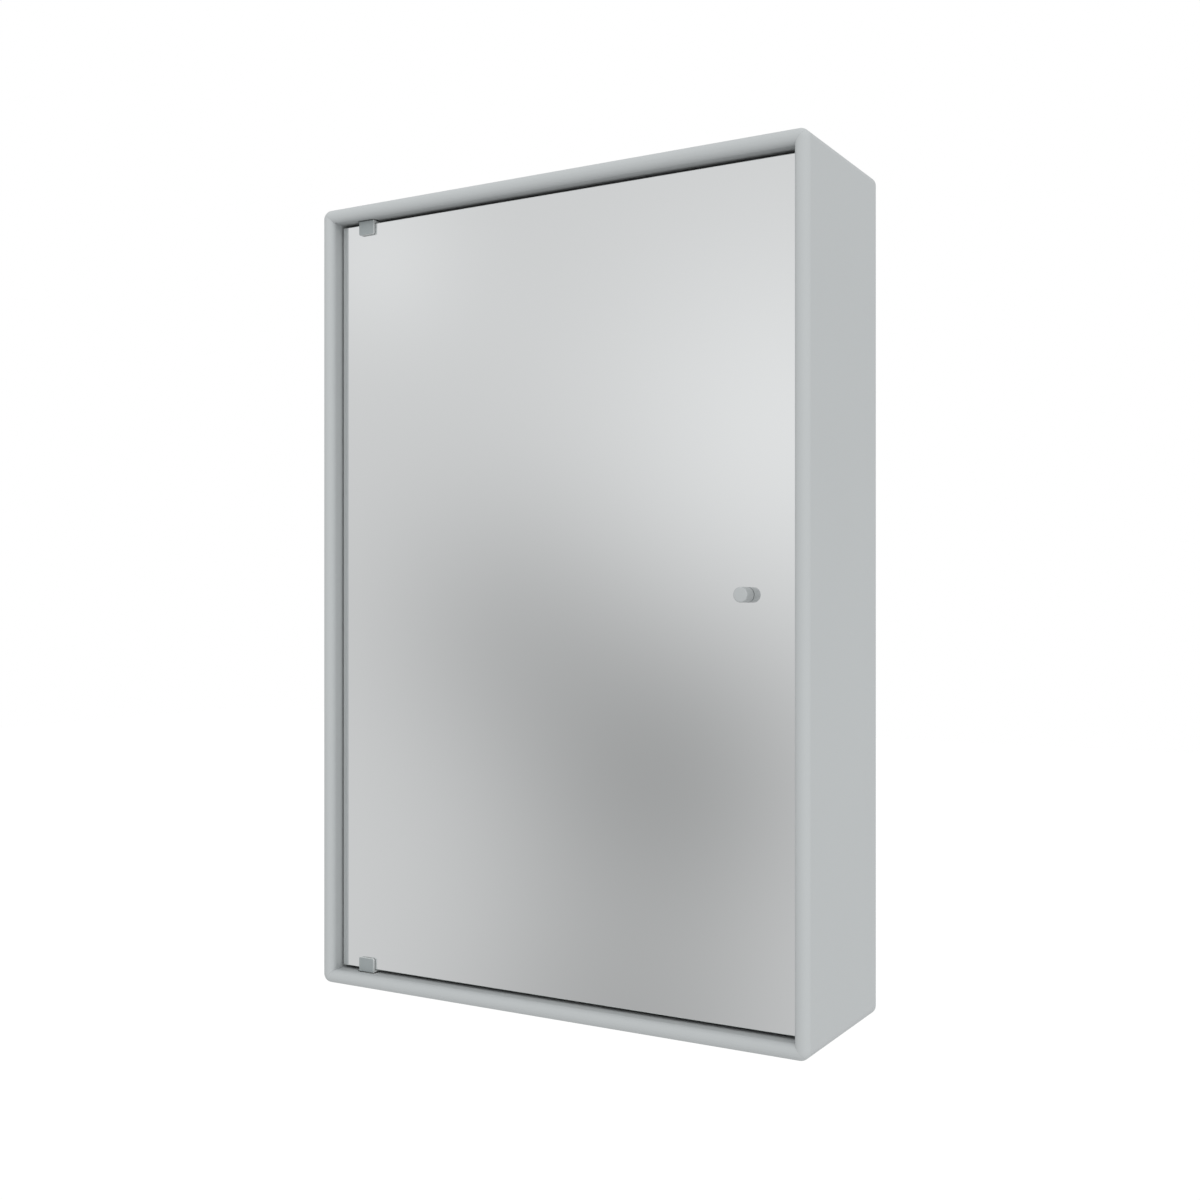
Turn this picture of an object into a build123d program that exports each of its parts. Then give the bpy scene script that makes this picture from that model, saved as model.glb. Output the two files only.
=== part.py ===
from build123d import *
import math
import os

os.makedirs("parts", exist_ok=True)

# Wall-hung mirror cabinet with one mirror door on two pivot clips.
# Millimetres. +Z is up, +Y goes into the wall and X runs to the right as seen from the front.
# The origin is midway between the two screw holes of the wall rail, on the wall's surface.

# Driving dimensions of the carcass
cabinet_width = 468.0
cabinet_height = 696.0
cabinet_depth = 150.0
board_thickness = 12.0
corner_radius = 8.0
nose_flat = 0.2
cut_margin = 5.0

# Back panel and its groove
back_thickness = 6.0
back_inset = 6.0
groove_depth = 5.0
groove_clearance = 0.1

# Loose tongues that hold the mitres
spline_thickness = 3.0
spline_width = 9.0
spline_length = 90.0
spline_front_inset = 24.0
spline_clearance = 0.1

# Mirror door
door_recess = 13.5
glass_thickness = 4.0
backing_thickness = 1.0
backing_margin = 2.0
side_gap = 2.0
end_gap = 3.0
glass_arris = 0.5

# Pivot clips
clip_width = 16.0
clip_height = 12.4
clip_front_wall = 2.5
clip_rear_wall = 3.0
clip_web = 2.2
clip_corner = 1.5
clip_edge = 0.4
clip_board_gap = 0.3
clip_inset = 28.6
liner_thickness = 0.5
liner_margin = 0.6
grub_radius = 2.0
grub_spacing = 8.0
grub_socket = 0.9
grub_socket_depth = 1.5
thread_clearance = 0.05

# Pivot pins, bushes and their pockets
pin_radius = 2.5
pin_collar_radius = 4.0
pin_engagement = 4.5
pin_running_clearance = 0.05
pin_end_gap = 0.5
collar_gap = 0.3
pocket_side_clearance = 2.0
pocket_front_clearance = 1.0
pocket_corner = 3.0
pocket_depth = 2.4
bush_flange_radius = 6.0
bush_flange = 1.2
bush_radius = 4.0
bush_length = 6.4

# Knob
knob_radius = 6.0
knob_length = 12.7
knob_edge = 1.2
knob_edge_inset = 41.0
knob_washer_radius = 5.2
knob_washer = 0.5
knob_rear_washer_radius = 6.5
knob_rear_washer = 1.0
knob_screw_radius = 2.0
knob_screw_bite = 8.0
knob_hole_radius = 3.0
screw_head_radius = 3.8
screw_head_height = 2.2
screw_head_edge = 0.8
screw_slot_width = 1.0
screw_slot_depth = 1.0

# Magnetic catch and its strike plate
strike_radius = 8.0
strike_thickness = 1.2
strike_edge_inset = 11.0
catch_gap = 0.3
catch_width = 14.0
catch_length = 44.0
catch_depth = 22.0
catch_corner = 2.0
magnet_width = 6.0
magnet_length = 20.0
magnet_depth = 8.0
pole_thickness = 1.2
catch_fit = 0.1
catch_screw_radius = 1.5
catch_screw_spacing = 34.0
catch_screw_bite = 8.0
catch_head_radius = 3.0
catch_head_height = 1.8

# Glass shelves and their pins
shelf_thickness = 6.0
shelf_side_gap = 1.0
shelf_back_gap = 1.0
shelf_front_clearance = 4.0
shelf_edge = 0.6
shelf_count = 2
pin_hole_radius = 2.5
pin_hole_depth = 8.0
pin_hole_pitch = 32.0
pin_holes_each_way = 1
pin_hole_clearance = 0.05
pin_inset_from_edge = 20.0
peg_length = 7.5
peg_collar_radius = 4.5
peg_collar = 1.2
rest_length = 8.0
rest_width = 6.0
rest_height = 2.5

# Hanging rail on the cabinet and wall rail that it hooks over
rail_length = 380.0
rail_sheet = 1.5
rail_drop = 40.0
rail_plate_height = 24.0
rail_lip = 12.0
rail_lip_gap = 0.1
rail_lip_bottom_gap = 1.5
wall_plate_height = 28.0
wall_hole_radius = 2.75
wall_hole_spacing = 320.0
wall_hole_rise = 12.0
rail_bolt_radius = 2.0
rail_bolt_clearance = 0.2
rail_bolt_inset = 30.0
rail_bolt_count = 4
bolt_head_radius = 4.5
bolt_head_height = 1.6
nut_across_flats = 7.0
nut_height = 2.6
pad_radius = 10.0
pad_inset = 40.0

# Places that follow from the driving dimensions
lip_top_z = wall_plate_height - wall_hole_rise + rail_lip + rail_lip_bottom_gap
cabinet_top = lip_top_z + rail_plate_height + rail_drop
cabinet_bottom = cabinet_top - cabinet_height
middle_z = (cabinet_top + cabinet_bottom) / 2
front_y = -cabinet_depth
half_width = cabinet_width / 2
inner_x = half_width - board_thickness
inner_top = cabinet_top - board_thickness
inner_bottom = cabinet_bottom + board_thickness
nose_radius = min((board_thickness - nose_flat) / 2, corner_radius - nose_flat)
back_rear_y = -back_inset
back_front_y = back_rear_y - back_thickness

glass_front_y = front_y + door_recess
glass_rear_y = glass_front_y + glass_thickness
door_rear_y = glass_rear_y + backing_thickness
door_left = -inner_x + side_gap
door_right = inner_x - side_gap
door_top = inner_top - end_gap
door_bottom = inner_bottom + end_gap
pivot_x = door_left + clip_inset
pivot_y = (glass_front_y + door_rear_y) / 2
knob_x = door_right - knob_edge_inset
strike_x = door_right - strike_edge_inset
strike_rear_y = door_rear_y + strike_thickness
catch_front_y = strike_rear_y + catch_gap

stub_reach = math.hypot(clip_inset, pivot_y - glass_front_y)
shelf_front_y = pivot_y + stub_reach + shelf_front_clearance
shelf_rear_y = back_front_y - shelf_back_gap


def block(low, high):
    """A box between two corners."""
    size = [b - a for a, b in zip(low, high)]
    centre = [(a + b) / 2 for a, b in zip(low, high)]
    return Pos(*centre) * Box(*size)


def rod_along(axis, radius, start, length):
    """A round bar from the point start, along +X, +Y or +Z, or against it where length is negative."""
    turn = {"X": Rot(0, 90, 0), "Y": Rot(-90, 0, 0), "Z": Rot(0, 0, 0)}[axis]
    step = {"X": (length / 2, 0, 0), "Y": (0, length / 2, 0), "Z": (0, 0, length / 2)}[axis]
    centre = [a + b for a, b in zip(start, step)]
    return Pos(*centre) * turn * Cylinder(radius, abs(length))


def prism_along_y(points, low_y, high_y):
    """An outline of X and Z points, given a depth along Y."""
    face = Plane.XZ * make_face(Polyline(*points, close=True))
    return Pos(0, high_y, 0) * extrude(face, high_y - low_y)


def prism_along_x(points, half_length):
    """An outline of Y and Z points, given a length along X."""
    face = Plane.YZ * make_face(Polyline(*points, close=True))
    return extrude(face, half_length, both=True)


def shell_block():
    """The cabinet's outer form: rounded corners, with the outer half of the nose round its front."""
    low = (-half_width, front_y, cabinet_bottom)
    high = (half_width, 0, cabinet_top)
    form = block(low, high)
    form = fillet(form.edges().filter_by(Axis.Y), corner_radius)
    front_loop = form.faces().sort_by(Axis.Y)[0].edges()
    return fillet(front_loop, nose_radius)


def back_groove():
    """What the four boards give up to hold the back panel."""
    low = (-inner_x - groove_depth, back_front_y - groove_clearance, inner_bottom - groove_depth)
    high = (inner_x + groove_depth, back_rear_y + groove_clearance, inner_top + groove_depth)
    return block(low, high)


def corner_points():
    """The middle of each mitre, with the turn that sets a tongue square across it."""
    half_board = board_thickness / 2
    for side_x in (-1, 1):
        for side_z in (-1, 1):
            x = side_x * (half_width - half_board)
            z = middle_z + side_z * (cabinet_height / 2 - half_board)
            yield x, z, side_x * side_z * 45


def tongue(x, z, turn, spare):
    """One loose tongue across a mitre, or its slot where spare is the clearance."""
    length = spline_length + 2 * spare
    form = Box(spline_width + 2 * spare, length, spline_thickness + 2 * spare)
    middle_y = front_y + spline_front_inset + spline_length / 2
    return Pos(x, middle_y, z) * Rot(0, turn, 0) * form


def inner_nose_cut(axis, side):
    """What rounds the inner front edge of one board."""
    y0 = front_y - cut_margin
    y1 = front_y + nose_radius
    if axis == "X":
        edge = inner_top if side > 0 else inner_bottom
        z_pair = sorted((edge - side * cut_margin, edge + side * nose_radius))
        waste = block((-half_width, y0, z_pair[0]), (half_width, y1, z_pair[1]))
        start = (-half_width - cut_margin, y1, edge + side * nose_radius)
        return waste - rod_along("X", nose_radius, start, cabinet_width + 2 * cut_margin)
    x_pair = sorted((side * (inner_x - cut_margin), side * (inner_x + nose_radius)))
    waste = block((x_pair[0], y0, cabinet_bottom), (x_pair[1], y1, cabinet_top))
    start = (side * (inner_x + nose_radius), y1, cabinet_bottom - cut_margin)
    return waste - rod_along("Z", nose_radius, start, cabinet_height + 2 * cut_margin)


def board(axis, side, form):
    """One mitred board of the carcass, lying along X or standing along Z."""
    out_x = half_width + cut_margin
    if axis == "X":
        inner_z = inner_top if side > 0 else inner_bottom
        outer_z = inner_z + side * (board_thickness + cut_margin)
        points = [(-out_x, outer_z), (out_x, outer_z), (inner_x, inner_z), (-inner_x, inner_z)]
    else:
        x0 = side * inner_x
        x1 = side * out_x
        low = cabinet_bottom - cut_margin
        high = cabinet_top + cut_margin
        points = [(x0, inner_bottom), (x1, low), (x1, high), (x0, inner_top)]
    wedge = prism_along_y(points, front_y - cut_margin, cut_margin)
    made = form & wedge
    made -= inner_nose_cut(axis, side)
    made -= back_groove()
    for x, z, turn in corner_points():
        made -= tongue(x, z, turn, spline_clearance)
    return made


def bush_seat(side):
    """The pocket and the bush hole in the top or bottom board, side being 1 or -1."""
    face_z = inner_top if side > 0 else inner_bottom
    clip_front, mouth_front, mouth_rear, clip_rear = clip_depths()
    half_width_x = clip_width / 2 + pocket_side_clearance
    z_pair = sorted((face_z - side, face_z + side * pocket_depth))
    low = (pivot_x - half_width_x, clip_front - pocket_front_clearance, z_pair[0])
    high = (pivot_x + half_width_x, clip_rear + pocket_front_clearance, z_pair[1])
    pocket = block(low, high)
    pocket = fillet(pocket.edges().filter_by(Axis.Z), pocket_corner)
    hole_start = (pivot_x, pivot_y, face_z)
    hole = rod_along("Z", bush_radius + thread_clearance, hole_start, side * (pocket_depth + bush_length))
    return pocket + hole


def shelf_levels():
    """The height of each shelf's underside, with equal openings between the shelves."""
    opening = (inner_top - inner_bottom - shelf_count * shelf_thickness) / (shelf_count + 1)
    for n in range(shelf_count):
        yield inner_bottom + (n + 1) * opening + n * shelf_thickness


def peg_z(level):
    """The height of the pegs' holes under a shelf whose underside is at level."""
    return level - rest_height / 2


def peg_columns():
    """The two depths at which the shelf pegs stand."""
    return (shelf_front_y + pin_inset_from_edge, shelf_rear_y - pin_inset_from_edge)


def peg_holes(side):
    """The rows of holes in one side board, side being -1 or 1."""
    holes = []
    for level in shelf_levels():
        for n in range(-pin_holes_each_way, pin_holes_each_way + 1):
            for y in peg_columns():
                start = (side * (inner_x - 1), y, peg_z(level) + n * pin_hole_pitch)
                reach = side * (pin_hole_depth + 1)
                holes.append(rod_along("X", pin_hole_radius + pin_hole_clearance, start, reach))
    return holes


def catch_screw_places():
    """The heights of the two screws that hold the catch to the right side board."""
    return [middle_z + s * catch_screw_spacing / 2 for s in (-1, 1)]


def catch_screw_y():
    """The depth of the catch's screws, behind its magnet."""
    return catch_front_y + catch_depth / 2


def carcass_boards():
    """The four boards, with every seat that the fittings need."""
    form = shell_block()
    top = board("X", 1, form) - bush_seat(1)
    bottom = board("X", -1, form) - bush_seat(-1)
    left = board("Z", -1, form)
    right = board("Z", 1, form)
    for hole in peg_holes(-1):
        left -= hole
    for hole in peg_holes(1):
        right -= hole
    for z in catch_screw_places():
        start = (inner_x - 1, catch_screw_y(), z)
        right -= rod_along("X", catch_screw_radius + thread_clearance, start, catch_screw_bite + 2)
    return {"top_board": top, "bottom_board": bottom, "left_board": left, "right_board": right}


def corner_splines():
    """The four tongues, one across each mitre."""
    return [tongue(x, z, turn, 0) for x, z, turn in corner_points()]


def rail_bolt_places():
    """The X places of the bolts that hold the hanging rail to the back panel."""
    span = rail_length - 2 * rail_bolt_inset
    step = span / (rail_bolt_count - 1)
    return [-span / 2 + n * step for n in range(rail_bolt_count)]


def rail_bolt_z():
    """The height of the hanging rail's bolts, in the middle of its plate."""
    return lip_top_z + rail_plate_height / 2 + rail_sheet / 2


def back_panel():
    """The back panel, in its groove, with the hanging rail's bolt holes."""
    reach = groove_depth - groove_clearance
    low = (-inner_x - reach, back_front_y, inner_bottom - reach)
    high = (inner_x + reach, back_rear_y, inner_top + reach)
    panel = block(low, high)
    for x in rail_bolt_places():
        start = (x, back_front_y - 1, rail_bolt_z())
        panel -= rod_along("Y", rail_bolt_radius + rail_bolt_clearance, start, back_thickness + 2)
    return panel


def hanging_rail():
    """A bent strip: its plate lies on the back panel and its lip hooks down behind the wall rail."""
    plate_y = back_rear_y
    lip_y = -rail_sheet
    top_z = lip_top_z + rail_plate_height
    points = [
        (plate_y, lip_top_z),
        (plate_y, top_z),
        (plate_y + rail_sheet, top_z),
        (plate_y + rail_sheet, lip_top_z + rail_sheet),
        (lip_y, lip_top_z + rail_sheet),
        (lip_y, lip_top_z - rail_lip),
        (lip_y - rail_sheet, lip_top_z - rail_lip),
        (lip_y - rail_sheet, lip_top_z),
    ]
    rail = prism_along_x(points, rail_length / 2)
    for x in rail_bolt_places():
        start = (x, plate_y - 1, rail_bolt_z())
        rail -= rod_along("Y", rail_bolt_radius + rail_bolt_clearance, start, rail_sheet + 2)
    return rail


def wall_rail():
    """A bent strip on the wall: its lip stands up in front of the hanging rail's lip."""
    lip_rear_y = -2 * rail_sheet - rail_lip_gap
    lip_front_y = lip_rear_y - rail_sheet
    jog_top_z = lip_top_z - rail_lip - rail_lip_bottom_gap
    low_z = jog_top_z - wall_plate_height
    points = [
        (0, low_z),
        (0, jog_top_z),
        (lip_rear_y, jog_top_z),
        (lip_rear_y, lip_top_z),
        (lip_front_y, lip_top_z),
        (lip_front_y, jog_top_z - rail_sheet),
        (-rail_sheet, jog_top_z - rail_sheet),
        (-rail_sheet, low_z),
    ]
    rail = prism_along_x(points, rail_length / 2)
    for s in (-1, 1):
        start = (s * wall_hole_spacing / 2, -rail_sheet - 1, 0)
        rail -= rod_along("Y", wall_hole_radius, start, rail_sheet + 2)
    return rail


def rail_bolts():
    """Low-headed bolts from inside the cabinet through the back panel and the hanging rail."""
    bolts = []
    for x in rail_bolt_places():
        z = rail_bolt_z()
        reach = back_thickness + rail_sheet + nut_height
        head = rod_along("Y", bolt_head_radius, (x, back_front_y, z), -bolt_head_height)
        shank = rod_along("Y", rail_bolt_radius, (x, back_front_y, z), reach)
        slot_low = (x - screw_slot_width / 2, back_front_y - bolt_head_height - 1, z - bolt_head_radius)
        slot_high = (x + screw_slot_width / 2, back_front_y - bolt_head_height / 2, z + bolt_head_radius)
        bolts.append(head + shank - block(slot_low, slot_high))
    return bolts


def rail_nuts():
    """A hexagon nut on each of the rail's bolts."""
    nuts = []
    corner = nut_across_flats / math.sqrt(3)
    for x in rail_bolt_places():
        face = Plane.XZ * RegularPolygon(corner, 6)
        rear_y = back_rear_y + rail_sheet + nut_height
        nut = Pos(x, rear_y, rail_bolt_z()) * extrude(face, nut_height)
        bore_start = (x, back_rear_y, rail_bolt_z())
        nuts.append(nut - rod_along("Y", rail_bolt_radius + thread_clearance, bore_start, back_inset))
    return nuts


def wall_pads():
    """Two round pads that hold the cabinet's foot off the wall by as much as the rails do."""
    z = inner_bottom + pad_inset
    pads = []
    for s in (-1, 1):
        pads.append(rod_along("Y", pad_radius, (s * (inner_x - pad_inset), back_rear_y, z), back_inset))
    return pads


def shelf(level):
    """One glass shelf with eased front and rear edges."""
    low = (-inner_x + shelf_side_gap, shelf_front_y, level)
    high = (inner_x - shelf_side_gap, shelf_rear_y, level + shelf_thickness)
    plate = block(low, high)
    return chamfer(plate.edges().filter_by(Axis.X), shelf_edge)


def shelf_pins(level):
    """Four pegs: a shank in the board, a collar against it, and a flat rest under the shelf."""
    pegs = []
    for side in (-1, 1):
        face_x = side * inner_x
        for y in peg_columns():
            z = peg_z(level)
            shank = rod_along("X", pin_hole_radius, (face_x, y, z), side * peg_length)
            collar = rod_along("X", peg_collar_radius, (face_x, y, z), -side * peg_collar)
            collar &= block((-half_width, y - pad_inset, z - pad_inset), (half_width, y + pad_inset, level))
            x_pair = sorted((face_x, face_x - side * (peg_collar + rest_length)))
            low = (x_pair[0], y - rest_width / 2, level - rest_height)
            high = (x_pair[1], y + rest_width / 2, level)
            pegs.append(shank + collar + block(low, high))
    return pegs


def knob_hole(start_y, end_y):
    """The hole for the knob's screw, through what lies between two depths."""
    return rod_along("Y", knob_hole_radius, (knob_x, start_y - 1, middle_z), end_y - start_y + 2)


def mirror_glass():
    """The mirror pane, with ground edges and the knob's hole."""
    low = (door_left, glass_front_y, door_bottom)
    high = (door_right, glass_rear_y, door_top)
    pane = block(low, high)
    rims = pane.faces().sort_by(Axis.Y)
    pane = chamfer(rims[0].edges() + rims[-1].edges(), glass_arris)
    return pane - knob_hole(glass_front_y, glass_rear_y)


def mirror_backing():
    """The safety sheet on the pane's rear, a little smaller than the pane."""
    low = (door_left + backing_margin, glass_rear_y, door_bottom + backing_margin)
    high = (door_right - backing_margin, door_rear_y, door_top - backing_margin)
    return block(low, high) - knob_hole(glass_rear_y, door_rear_y)


def clip_span(side):
    """The heights at which a clip starts, beside the board, and ends, on the pane."""
    board_face = inner_top if side > 0 else inner_bottom
    near = board_face - side * clip_board_gap
    return near, near - side * clip_height


def clip_depths():
    """The depths of a clip's front face, its mouth's two faces and its rear face."""
    mouth_front = glass_front_y - liner_thickness
    mouth_rear = door_rear_y + liner_thickness
    return mouth_front - clip_front_wall, mouth_front, mouth_rear, mouth_rear + clip_rear_wall


def hinge_clip(side):
    """A clip that grips the pane's edge, with a hole in its web for the pivot pin."""
    near, far = clip_span(side)
    front, mouth_front, mouth_rear, rear = clip_depths()
    z_pair = sorted((near, far))
    x0 = pivot_x - clip_width / 2
    x1 = pivot_x + clip_width / 2
    body = block((x0, front, z_pair[0]), (x1, rear, z_pair[1]))
    far_face = body.faces().sort_by(Axis.Z)[0 if side > 0 else -1]
    body = fillet(far_face.edges().filter_by(Axis.Y), clip_corner)
    front_edges = body.faces().sort_by(Axis.Y)[0].edges()
    body = fillet(front_edges, clip_edge)
    mouth_z = sorted((near - side * clip_web, far - side * cut_margin))
    mouth = block((x0 - 1, mouth_front, mouth_z[0]), (x1 + 1, mouth_rear, mouth_z[1]))
    body -= mouth
    pin_hole_start = (pivot_x, pivot_y, near + side)
    pin_hole = rod_along("Z", pin_radius + thread_clearance, pin_hole_start, -side * (clip_web + 2))
    body -= pin_hole
    for x, z in grub_places(side):
        body -= rod_along("Y", grub_radius + thread_clearance, (x, mouth_rear - 1, z), clip_rear_wall + 2)
    return body


def grub_places(side):
    """The two places of the grub screws in a clip's rear wall."""
    near, far = clip_span(side)
    z = (near - side * clip_web + far) / 2
    return [(pivot_x + s * grub_spacing / 2, z) for s in (-1, 1)]


def clip_liners():
    """Soft liners between each clip and the pane, one in front and one behind."""
    liners = []
    for side in (1, -1):
        near, far = clip_span(side)
        z_pair = sorted((near - side * (clip_web + liner_margin), far + side * liner_margin))
        x0 = pivot_x - clip_width / 2 + liner_margin
        x1 = pivot_x + clip_width / 2 - liner_margin
        front, mouth_front, mouth_rear, rear = clip_depths()
        liners.append(block((x0, mouth_front, z_pair[0]), (x1, glass_front_y, z_pair[1])))
        liners.append(block((x0, door_rear_y, z_pair[0]), (x1, mouth_rear, z_pair[1])))
    return liners


def clip_grub_screws():
    """Two grub screws in each clip's rear wall press the rear liner on the pane."""
    screws = []
    front, mouth_front, mouth_rear, rear = clip_depths()
    for side in (1, -1):
        for x, z in grub_places(side):
            screw = rod_along("Y", grub_radius, (x, mouth_rear, z), clip_rear_wall)
            socket_face = Plane.XZ * RegularPolygon(grub_socket, 6)
            socket = Pos(x, rear + 1, z) * extrude(socket_face, grub_socket_depth + 1)
            screws.append(screw - socket)
    return screws


def pivot_pin(side):
    """A pin fixed in a clip's web, with a collar on the web and its end in the board's bush."""
    near, far = clip_span(side)
    board_face = inner_top if side > 0 else inner_bottom
    tip = board_face + side * (pocket_depth - bush_flange + pin_engagement)
    start = near - side * clip_web
    pin = rod_along("Z", pin_radius, (pivot_x, pivot_y, start), tip - start)
    tip_face = pin.faces().sort_by(Axis.Z)[-1 if side > 0 else 0]
    pin = chamfer(tip_face.edges(), glass_arris)
    collar = clip_board_gap + pocket_depth - bush_flange - collar_gap
    return pin + rod_along("Z", pin_collar_radius, (pivot_x, pivot_y, near), side * collar)


def pivot_bush(side):
    """A flanged bush in the board, in which the pivot pin turns."""
    board_face = inner_top if side > 0 else inner_bottom
    floor_z = board_face + side * pocket_depth
    flange = rod_along("Z", bush_flange_radius, (pivot_x, pivot_y, floor_z), -side * bush_flange)
    stem = rod_along("Z", bush_radius, (pivot_x, pivot_y, floor_z), side * bush_length)
    bore_start = (pivot_x, pivot_y, floor_z - side * (bush_flange + 1))
    bore_length = pin_engagement + pin_end_gap + 1
    bore = rod_along("Z", pin_radius + pin_running_clearance, bore_start, side * bore_length)
    return flange + stem - bore


def knob():
    """A plain round knob with an eased front edge and a threaded hole from behind."""
    base_y = glass_front_y - knob_washer
    body = rod_along("Y", knob_radius, (knob_x, base_y, middle_z), -knob_length)
    front_face = body.faces().sort_by(Axis.Y)[0]
    body = fillet(front_face.edges(), knob_edge)
    bore_start = (knob_x, base_y + 1, middle_z)
    bore_length = knob_screw_bite + 2
    return body - rod_along("Y", knob_screw_radius + thread_clearance, bore_start, -bore_length)


def ring_along_y(outer_radius, bore_radius, start_y, thickness):
    """A washer round the knob's screw."""
    ring = rod_along("Y", outer_radius, (knob_x, start_y, middle_z), thickness)
    return ring - rod_along("Y", bore_radius, (knob_x, start_y - 1, middle_z), thickness + 2)


def knob_washer_front():
    """The soft washer between the knob and the pane."""
    bore = knob_screw_radius + rail_bolt_clearance
    return ring_along_y(knob_washer_radius, bore, glass_front_y - knob_washer, knob_washer)


def knob_washer_rear():
    """The washer under the screw's head, on the safety sheet."""
    bore = knob_screw_radius + rail_bolt_clearance
    return ring_along_y(knob_rear_washer_radius, bore, door_rear_y, knob_rear_washer)


def knob_screw():
    """A slotted screw from behind the door into the knob."""
    head_y = door_rear_y + knob_rear_washer
    head = rod_along("Y", screw_head_radius, (knob_x, head_y, middle_z), screw_head_height)
    head = fillet(head.faces().sort_by(Axis.Y)[-1].edges(), screw_head_edge)
    reach = head_y - (glass_front_y - knob_washer) + knob_screw_bite
    shank = rod_along("Y", knob_screw_radius, (knob_x, head_y, middle_z), -reach)
    slot_top = head_y + screw_head_height
    low = (knob_x - screw_head_radius, slot_top - screw_slot_depth, middle_z - screw_slot_width / 2)
    high = (knob_x + screw_head_radius, slot_top + 1, middle_z + screw_slot_width / 2)
    return head + shank - block(low, high)


def strike_plate():
    """The steel disc on the door's rear that the catch pulls on."""
    return rod_along("Y", strike_radius, (strike_x, door_rear_y, middle_z), strike_thickness)


def catch_centre_x():
    """The middle of the catch, which stands against the right side board."""
    return inner_x - catch_width / 2


def magnet_block(spare):
    """The space that the magnet and its two pole plates take, grown by spare on each side."""
    half_x = magnet_width / 2 + pole_thickness + spare
    half_z = magnet_length / 2 + spare
    x = catch_centre_x()
    low = (x - half_x, catch_front_y - 1, middle_z - half_z)
    high = (x + half_x, catch_front_y + magnet_depth + spare, middle_z + half_z)
    return block(low, high)


def catch_housing():
    """The catch's plastic body, with its magnet's pocket and two screw holes with sunk heads."""
    low = (inner_x - catch_width, catch_front_y, middle_z - catch_length / 2)
    high = (inner_x, catch_front_y + catch_depth, middle_z + catch_length / 2)
    body = block(low, high)
    outer_face = body.faces().sort_by(Axis.X)[0]
    body = fillet(outer_face.edges(), catch_corner)
    body -= magnet_block(catch_fit)
    for z in catch_screw_places():
        hole_start = (low[0] - 1, catch_screw_y(), z)
        body -= rod_along("X", catch_screw_radius + catch_fit, hole_start, catch_width + 2)
        body -= rod_along("X", catch_head_radius + catch_fit, hole_start, catch_head_height + 1)
    return body


def catch_magnet():
    """The magnet between the two pole plates."""
    x = catch_centre_x()
    low = (x - magnet_width / 2, catch_front_y + pole_thickness, middle_z - magnet_length / 2)
    high = (x + magnet_width / 2, catch_front_y + magnet_depth, middle_z + magnet_length / 2)
    return block(low, high)


def catch_pole_plates():
    """The two steel plates beside the magnet, whose edges face the strike plate."""
    plates = []
    for s in (-1, 1):
        near = catch_centre_x() + s * magnet_width / 2
        x_pair = sorted((near, near + s * pole_thickness))
        low = (x_pair[0], catch_front_y, middle_z - magnet_length / 2)
        high = (x_pair[1], catch_front_y + magnet_depth, middle_z + magnet_length / 2)
        plates.append(block(low, high))
    return plates


def catch_screws():
    """Two screws through the catch into the right side board."""
    screws = []
    head_x = inner_x - catch_width
    for z in catch_screw_places():
        start = (head_x, catch_screw_y(), z)
        head = rod_along("X", catch_head_radius, start, catch_head_height)
        shank = rod_along("X", catch_screw_radius, start, catch_width + catch_screw_bite)
        y = catch_screw_y()
        low = (head_x - 1, y - screw_slot_width / 2, z - catch_head_radius)
        high = (head_x + catch_head_height / 2, y + screw_slot_width / 2, z + catch_head_radius)
        screws.append(head + shank - block(low, high))
    return screws


def write_node(name, made):
    """One STEP file for a node, which may be several separate solids."""
    solids = made if isinstance(made, list) else [made]
    flat = [solid for item in solids for solid in item.solids()]
    shape = flat[0] if len(flat) == 1 else Compound(children=flat)
    shape.label = name
    export_step(shape, f"parts/{name}.step")


nodes = carcass_boards()
nodes["corner_splines"] = corner_splines()
nodes["back_panel"] = back_panel()
nodes["hanging_rail"] = hanging_rail()
nodes["rail_bolts"] = rail_bolts()
nodes["rail_nuts"] = rail_nuts()
nodes["wall_rail"] = wall_rail()
nodes["wall_pads"] = wall_pads()
for number, height in enumerate(shelf_levels(), start=1):
    nodes[f"shelf_{number}"] = shelf(height)
    nodes[f"shelf_{number}_pins"] = shelf_pins(height)
nodes["mirror_glass"] = mirror_glass()
nodes["mirror_backing"] = mirror_backing()
for place, direction in (("top", 1), ("bottom", -1)):
    nodes[f"hinge_clip_{place}"] = hinge_clip(direction)
    nodes[f"pivot_pin_{place}"] = pivot_pin(direction)
    nodes[f"pivot_bush_{place}"] = pivot_bush(direction)
nodes["clip_liners"] = clip_liners()
nodes["clip_grub_screws"] = clip_grub_screws()
nodes["knob"] = knob()
nodes["knob_washer_front"] = knob_washer_front()
nodes["knob_washer_rear"] = knob_washer_rear()
nodes["knob_screw"] = knob_screw()
nodes["strike_plate"] = strike_plate()
nodes["catch_housing"] = catch_housing()
nodes["catch_magnet"] = catch_magnet()
nodes["catch_pole_plates"] = catch_pole_plates()
nodes["catch_screws"] = catch_screws()

for node_name, node_form in nodes.items():
    write_node(node_name, node_form)
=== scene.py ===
# %% [markdown]
# This file dresses a wall-hung mirror cabinet. The construction comes from the packed model: every board,
# clip, pin and screw is there at its real size. What is added here is what light shows: lacquer, silver,
# glass, steel and rubber, a few pieces whose round forms are finer than the model's, and a plain studio.
# Lengths are metres. X runs to the right, Y into the wall and Z up, and the wall's surface is at Y = 0.

# %% Load the frame
import math

import bmesh
import bpy
from mathutils import Matrix, Vector


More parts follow.
